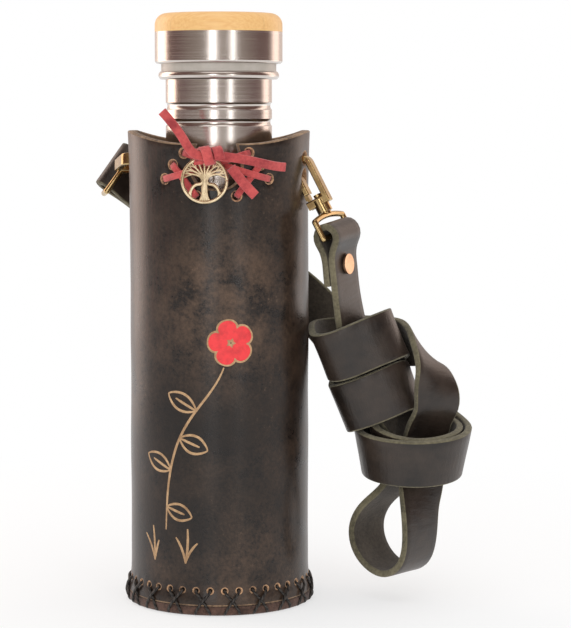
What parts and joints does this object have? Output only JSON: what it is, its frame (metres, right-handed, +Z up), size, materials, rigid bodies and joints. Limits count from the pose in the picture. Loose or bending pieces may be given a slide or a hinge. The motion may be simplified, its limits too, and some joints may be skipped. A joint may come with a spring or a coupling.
{
  "type": "bottle carrier",
  "caption": "Laced leather sleeve that carries a steel bottle, with a knotted shoulder strap on swivel snap hooks.",
  "frame": {"origin": "centre of the base's underside, where the carrier stands", "axes": "+Z up along the sleeve's axis, -Y towards the laced front, +X towards the knotted strap"},
  "size_m": [0.1677, 0.0989, 0.2565],
  "materials": {
    "sleeve_leather": "rubbed, waxed, tan raw edges",
    "strap_leather": "smooth face, olive raw edges",
    "red_lace": "suede",
    "cord": "waxed cord",
    "hook_brass": "antique, satin",
    "rivet_copper": "polished, worn",
    "steel": "brushed",
    "cap_wood": "bamboo, oiled",
    "plug_plastic": "matt",
    "seal": "matt silicone",
    "charm_metal": "antique, worn"
  },
  "bodies": {
    "carrier": {"sleeve": "sleeve_leather", "base_disc": "sleeve_leather", "base_stitching": "cord", "back_seam_stitching": "cord", "lace_crossings": "red_lace", "lace_knot": "red_lace", "lace_long_tail": "red_lace", "lace_low_tail": "red_lace", "charm_cord": "red_lace", "right_hook_body": "hook_brass", "right_gate_pin": "hook_brass", "left_hook_body": "hook_brass", "left_gate_pin": "hook_brass", "strap_back_run": "strap_leather"},
    "bottle": {"bottle_body": "steel"},
    "cap_seal": {"cap_gasket": "seal"},
    "cap": {"cap_shell": "steel", "cap_top": "cap_wood", "cap_plug": "plug_plastic"},
    "charm": {"tree_charm": "charm_metal", "charm_ring": "charm_metal"},
    "right_gate": {"right_hook_gate": "hook_brass"},
    "left_gate": {"left_hook_gate": "hook_brass"},
    "right_eye": {"right_swivel_eye": "hook_brass"},
    "left_eye": {"left_swivel_eye": "hook_brass", "strap_left_end": "strap_leather", "left_rivet_post": "rivet_copper", "left_rivet_cap": "rivet_copper"},
    "strap": {"strap_right_end": "strap_leather", "strap_core": "strap_leather", "strap_hanging_loop": "strap_leather", "strap_side_turn": "strap_leather", "strap_upper_wraps": "strap_leather", "strap_lower_wrap": "strap_leather", "right_rivet_post": "rivet_copper", "right_rivet_cap": "rivet_copper"}
  },
  "joints": [
    {"name": "bottle_lift", "type": "slide", "parent": "carrier", "child": "bottle", "axis": [0, 0, 1], "range_m": [0, 0.21]},
    {"name": "cap_lift", "type": "slide", "parent": "bottle", "child": "cap_seal", "axis": [0, 0, 1], "range_m": [0, 0.01561]},
    {"name": "cap_turn", "type": "hinge", "parent": "cap_seal", "child": "cap", "pos_m": [0, 0, 0.24], "axis": [0, 0, 1], "range_deg": [0, 1080]},
    {"name": "charm_swing", "type": "hinge", "parent": "carrier", "child": "charm", "pos_m": [-0.0048, -0.0419, 0.19825], "axis": [-1, 0, 0], "range_deg": [0, 20]},
    {"name": "right_gate_hinge", "type": "hinge", "parent": "carrier", "child": "right_gate", "pos_m": [0.04065, -0.01321, 0.17394], "axis": [0.309, 0.9511, 0], "range_deg": [0, 22], "stiffness_Nm_per_rad": 0.01, "springref_deg": -11.46},
    {"name": "left_gate_hinge", "type": "hinge", "parent": "carrier", "child": "left_gate", "pos_m": [-0.03816, 0.02032, 0.19002], "axis": [-0.0151, -0.173, -0.9848], "range_deg": [0, 22], "stiffness_Nm_per_rad": 0.01, "springref_deg": -11.46},
    {"name": "right_swivel", "type": "hinge", "parent": "carrier", "child": "right_eye", "pos_m": [0.03642, -0.01184, 0.1906], "axis": [0.4465, -0.1451, -0.8829], "range_deg": [0, 20], "deforming": ["strap_back_run"]},
    {"name": "strap_swing", "type": "hinge", "parent": "right_eye", "child": "strap", "pos_m": [0.05116, -0.01662, 0.16146], "axis": [-0.466, -0.8801, -0.091], "range_deg": [0, 20], "deforming": ["strap_back_run"]},
    {"name": "left_swivel", "type": "hinge", "parent": "carrier", "child": "left_eye", "pos_m": [-0.03815, 0.00334, 0.193], "axis": [-0.2262, 0.96, -0.1651], "range_deg": [-10, 10], "deforming": ["strap_back_run"]}
  ],
  "couplings": [
    {"joint": "cap_lift", "follows": "cap_turn", "m_per_rad": 0.00082761}
  ]
}
